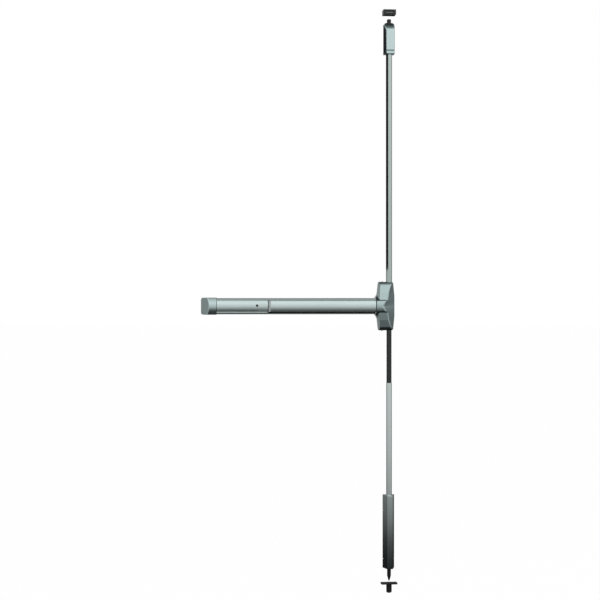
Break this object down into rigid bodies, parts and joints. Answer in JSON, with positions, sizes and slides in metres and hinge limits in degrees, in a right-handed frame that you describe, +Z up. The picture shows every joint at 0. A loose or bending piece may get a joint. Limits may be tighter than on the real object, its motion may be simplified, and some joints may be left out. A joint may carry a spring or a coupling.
{
  "type": "panic exit bar",
  "caption": "Surface-mounted exit bar: a push pad in a rail works a centre case, which draws a top and a bottom bolt back on vertical rods.",
  "frame": {"origin": "on the door's face, level with the bar's centreline and in line with the two rods", "axes": "+X along the bar towards the centre case, +Y into the door, +Z up"},
  "size_m": [0.736, 0.0665, 2.191],
  "materials": {
    "satin_aluminium": "satin extruded aluminium, fine lines along its length",
    "satin_stainless": "satin stainless steel, brushed lengthways",
    "satin_casting": "satin lacquered casting, grey with a slight green tint",
    "grey_plastic": "matt moulded plastic, light grey",
    "black_steel": "black oxide steel, low sheen",
    "roller_steel": "turned steel, dull",
    "spring_steel": "drawn spring steel",
    "zinc_steel": "zinc-plated pressed steel"
  },
  "bodies": {
    "frame": {"rail": "satin_aluminium", "end_cap": "satin_casting", "end_bracket": "zinc_steel", "end_cap_screws": "zinc_steel", "rail_screws": "zinc_steel", "rail_cover": "satin_stainless", "crank_brackets": "zinc_steel", "crank_pivots": "zinc_steel", "crank_rivets": "zinc_steel", "dogging_bracket": "zinc_steel", "dogging_bracket_rivets": "zinc_steel", "case_base": "zinc_steel", "case_cover": "satin_casting", "case_cover_screws": "zinc_steel", "lever_posts": "zinc_steel", "carriage_guide": "zinc_steel", "lever_clips": "spring_steel", "top_latch_base": "zinc_steel", "top_latch_cover": "satin_casting", "top_latch_collar": "satin_casting", "top_latch_screws": "zinc_steel", "top_bolt_spring": "spring_steel", "bottom_latch_base": "zinc_steel", "bottom_latch_cover": "satin_casting", "bottom_latch_screws": "zinc_steel", "bottom_bolt_spring": "spring_steel", "top_strike": "black_steel", "strike_axle": "zinc_steel", "floor_strike": "black_steel"},
    "pad": {"touchpad": "satin_stainless", "pad_end_block": "grey_plastic", "pad_brackets": "zinc_steel"},
    "left_crank_body": {"left_crank": "zinc_steel", "left_crank_pins": "zinc_steel", "left_crank_spring": "spring_steel"},
    "right_crank_body": {"right_crank": "zinc_steel", "right_crank_pins": "zinc_steel", "right_crank_spring": "spring_steel"},
    "draw": {"drawbar": "zinc_steel", "carriage": "zinc_steel", "carriage_rivets": "zinc_steel"},
    "dogging": {"dogging_screw": "black_steel", "dogging_cam": "zinc_steel"},
    "upper_lever_body": {"upper_lever": "zinc_steel", "upper_lever_pins": "zinc_steel"},
    "lower_lever_body": {"lower_lever": "zinc_steel", "lower_lever_pins": "zinc_steel"},
    "upper_rod_body": {"upper_rod": "satin_stainless", "upper_rod_tongue": "zinc_steel", "top_bolt": "black_steel", "top_bolt_nut": "zinc_steel"},
    "lower_rod_body": {"lower_rod": "satin_stainless", "lower_rod_sleeve": "satin_stainless", "sleeve_pin": "zinc_steel", "lower_rod_tongue": "zinc_steel", "bottom_bolt": "black_steel", "bottom_bolt_nut": "zinc_steel"},
    "roller": {"strike_roller": "roller_steel"}
  },
  "joints": [
    {"name": "pad_push", "type": "slide", "parent": "frame", "child": "pad", "axis": [0, 1, 0], "range_m": [0, 0.013], "stiffness_N_per_m": 1500, "springref_m": -0.012},
    {"name": "left_crank_turn", "type": "hinge", "parent": "frame", "child": "left_crank_body", "pos_m": [-0.3985, -0.02, 0], "axis": [0, 0, -1], "range_deg": [0, 34.38]},
    {"name": "right_crank_turn", "type": "hinge", "parent": "frame", "child": "right_crank_body", "pos_m": [-0.1305, -0.02, 0], "axis": [0, 0, -1], "range_deg": [0, 34.38]},
    {"name": "drawbar_slide", "type": "slide", "parent": "frame", "child": "draw", "axis": [-1, 0, 0], "range_m": [0, 0.01182]},
    {"name": "upper_lever_turn", "type": "hinge", "parent": "frame", "child": "upper_lever_body", "pos_m": [-0.024, -0.016, 0.03], "axis": [0, 1, 0], "range_deg": [0, 34.38]},
    {"name": "lower_lever_turn", "type": "hinge", "parent": "frame", "child": "lower_lever_body", "pos_m": [-0.024, -0.016, -0.03], "axis": [0, -1, 0], "range_deg": [0, 34.38]},
    {"name": "upper_rod_slide", "type": "slide", "parent": "frame", "child": "upper_rod_body", "axis": [0, 0, -1], "range_m": [0, 0.01419], "deforming": ["top_bolt_spring"]},
    {"name": "lower_rod_slide", "type": "slide", "parent": "frame", "child": "lower_rod_body", "axis": [0, 0, 1], "range_m": [0, 0.01419], "deforming": ["bottom_bolt_spring"]},
    {"name": "dogging_turn", "type": "hinge", "parent": "frame", "child": "dogging", "pos_m": [-0.501, -0.03, 0.002], "axis": [0, -1, 0], "range_deg": [0, 75]},
    {"name": "strike_roller_spin", "type": "hinge", "parent": "frame", "child": "roller", "pos_m": [0, -0.031, 1.102], "axis": [1, 0, 0], "continuous": true}
  ],
  "couplings": [
    {"joint": "left_crank_turn", "follows": "pad_push", "rad_per_m": 46.143},
    {"joint": "right_crank_turn", "follows": "pad_push", "rad_per_m": 46.143},
    {"joint": "drawbar_slide", "follows": "pad_push", "ratio": 0.90909},
    {"joint": "upper_lever_turn", "follows": "pad_push", "rad_per_m": 46.143},
    {"joint": "lower_lever_turn", "follows": "pad_push", "rad_per_m": 46.143},
    {"joint": "upper_rod_slide", "follows": "pad_push", "ratio": 1.0909},
    {"joint": "lower_rod_slide", "follows": "pad_push", "ratio": 1.0909}
  ]
}
